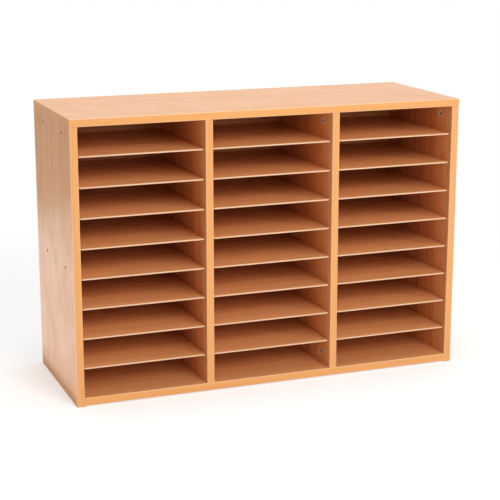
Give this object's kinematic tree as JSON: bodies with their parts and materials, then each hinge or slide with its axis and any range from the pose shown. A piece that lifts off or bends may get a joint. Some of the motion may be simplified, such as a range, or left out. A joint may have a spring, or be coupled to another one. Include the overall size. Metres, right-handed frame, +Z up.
{
  "type": "classroom mailbox",
  "caption": "Wide low cabinet of open letter slots in three columns, with edged boards, cam fittings, a grooved back board and thin pull-out shelves resting on pins.",
  "frame": {"origin": "middle of the underside, on the surface that the side panels stand on", "axes": "+X to the right along the width, +Y to the back, +Z up; the slots open towards -Y"},
  "size_m": [0.813, 0.298, 0.56],
  "materials": {
    "beech_board": "satin beech-grain laminate on chipboard",
    "edge_strip": "satin orange-beech plastic edging with eased corners",
    "shelf_board": "satin beech-grain thin fibreboard with a pale front edge",
    "back_board": "thin fibreboard, laminated inside and raw brown behind",
    "zinc": "die-cast zinc, dull",
    "steel": "zinc-plated steel",
    "dowel_wood": "raw beech dowel"
  },
  "bodies": {
    "case": {"top_panel": "beech_board", "bottom_panel": "beech_board", "left_side": "beech_board", "right_side": "beech_board", "left_divider": "beech_board", "right_divider": "beech_board", "back_board": "back_board", "top_front_band": "edge_strip", "top_left_band": "edge_strip", "top_right_band": "edge_strip", "bottom_band": "edge_strip", "left_side_band": "edge_strip", "right_side_band": "edge_strip", "left_divider_band": "edge_strip", "right_divider_band": "edge_strip", "cam_locks": "zinc", "cam_bolts": "steel", "dowels": "dowel_wood", "back_nails": "steel", "shelf_pins_left": "steel", "shelf_pins_middle": "steel", "shelf_pins_right": "steel"},
    "shelf_left_1": {"shelf_left_1": "shelf_board"},
    "shelf_left_2": {"shelf_left_2": "shelf_board"},
    "shelf_left_3": {"shelf_left_3": "shelf_board"},
    "shelf_left_4": {"shelf_left_4": "shelf_board"},
    "shelf_left_5": {"shelf_left_5": "shelf_board"},
    "shelf_left_6": {"shelf_left_6": "shelf_board"},
    "shelf_left_7": {"shelf_left_7": "shelf_board"},
    "shelf_left_8": {"shelf_left_8": "shelf_board"},
    "shelf_middle_1": {"shelf_middle_1": "shelf_board"},
    "shelf_middle_2": {"shelf_middle_2": "shelf_board"},
    "shelf_middle_3": {"shelf_middle_3": "shelf_board"},
    "shelf_middle_4": {"shelf_middle_4": "shelf_board"},
    "shelf_middle_5": {"shelf_middle_5": "shelf_board"},
    "shelf_middle_6": {"shelf_middle_6": "shelf_board"},
    "shelf_middle_7": {"shelf_middle_7": "shelf_board"},
    "shelf_middle_8": {"shelf_middle_8": "shelf_board"},
    "shelf_right_1": {"shelf_right_1": "shelf_board"},
    "shelf_right_2": {"shelf_right_2": "shelf_board"},
    "shelf_right_3": {"shelf_right_3": "shelf_board"},
    "shelf_right_4": {"shelf_right_4": "shelf_board"},
    "shelf_right_5": {"shelf_right_5": "shelf_board"},
    "shelf_right_6": {"shelf_right_6": "shelf_board"},
    "shelf_right_7": {"shelf_right_7": "shelf_board"},
    "shelf_right_8": {"shelf_right_8": "shelf_board"}
  },
  "joints": [
    {"name": "shelf_left_1_slide", "type": "slide", "parent": "case", "child": "shelf_left_1", "axis": [0, -1, 0], "range_m": [0, 0.29]},
    {"name": "shelf_left_2_slide", "type": "slide", "parent": "case", "child": "shelf_left_2", "axis": [0, -1, 0], "range_m": [0, 0.29]},
    {"name": "shelf_left_3_slide", "type": "slide", "parent": "case", "child": "shelf_left_3", "axis": [0, -1, 0], "range_m": [0, 0.29]},
    {"name": "shelf_left_4_slide", "type": "slide", "parent": "case", "child": "shelf_left_4", "axis": [0, -1, 0], "range_m": [0, 0.29]},
    {"name": "shelf_left_5_slide", "type": "slide", "parent": "case", "child": "shelf_left_5", "axis": [0, -1, 0], "range_m": [0, 0.29]},
    {"name": "shelf_left_6_slide", "type": "slide", "parent": "case", "child": "shelf_left_6", "axis": [0, -1, 0], "range_m": [0, 0.29]},
    {"name": "shelf_left_7_slide", "type": "slide", "parent": "case", "child": "shelf_left_7", "axis": [0, -1, 0], "range_m": [0, 0.29]},
    {"name": "shelf_left_8_slide", "type": "slide", "parent": "case", "child": "shelf_left_8", "axis": [0, -1, 0], "range_m": [0, 0.29]},
    {"name": "shelf_middle_1_slide", "type": "slide", "parent": "case", "child": "shelf_middle_1", "axis": [0, -1, 0], "range_m": [0, 0.29]},
    {"name": "shelf_middle_2_slide", "type": "slide", "parent": "case", "child": "shelf_middle_2", "axis": [0, -1, 0], "range_m": [0, 0.29]},
    {"name": "shelf_middle_3_slide", "type": "slide", "parent": "case", "child": "shelf_middle_3", "axis": [0, -1, 0], "range_m": [0, 0.29]},
    {"name": "shelf_middle_4_slide", "type": "slide", "parent": "case", "child": "shelf_middle_4", "axis": [0, -1, 0], "range_m": [0, 0.29]},
    {"name": "shelf_middle_5_slide", "type": "slide", "parent": "case", "child": "shelf_middle_5", "axis": [0, -1, 0], "range_m": [0, 0.29]},
    {"name": "shelf_middle_6_slide", "type": "slide", "parent": "case", "child": "shelf_middle_6", "axis": [0, -1, 0], "range_m": [0, 0.29]},
    {"name": "shelf_middle_7_slide", "type": "slide", "parent": "case", "child": "shelf_middle_7", "axis": [0, -1, 0], "range_m": [0, 0.29]},
    {"name": "shelf_middle_8_slide", "type": "slide", "parent": "case", "child": "shelf_middle_8", "axis": [0, -1, 0], "range_m": [0, 0.29]},
    {"name": "shelf_right_1_slide", "type": "slide", "parent": "case", "child": "shelf_right_1", "axis": [0, -1, 0], "range_m": [0, 0.29]},
    {"name": "shelf_right_2_slide", "type": "slide", "parent": "case", "child": "shelf_right_2", "axis": [0, -1, 0], "range_m": [0, 0.29]},
    {"name": "shelf_right_3_slide", "type": "slide", "parent": "case", "child": "shelf_right_3", "axis": [0, -1, 0], "range_m": [0, 0.29]},
    {"name": "shelf_right_4_slide", "type": "slide", "parent": "case", "child": "shelf_right_4", "axis": [0, -1, 0], "range_m": [0, 0.29]},
    {"name": "shelf_right_5_slide", "type": "slide", "parent": "case", "child": "shelf_right_5", "axis": [0, -1, 0], "range_m": [0, 0.29]},
    {"name": "shelf_right_6_slide", "type": "slide", "parent": "case", "child": "shelf_right_6", "axis": [0, -1, 0], "range_m": [0, 0.29]},
    {"name": "shelf_right_7_slide", "type": "slide", "parent": "case", "child": "shelf_right_7", "axis": [0, -1, 0], "range_m": [0, 0.29]},
    {"name": "shelf_right_8_slide", "type": "slide", "parent": "case", "child": "shelf_right_8", "axis": [0, -1, 0], "range_m": [0, 0.29]}
  ]
}
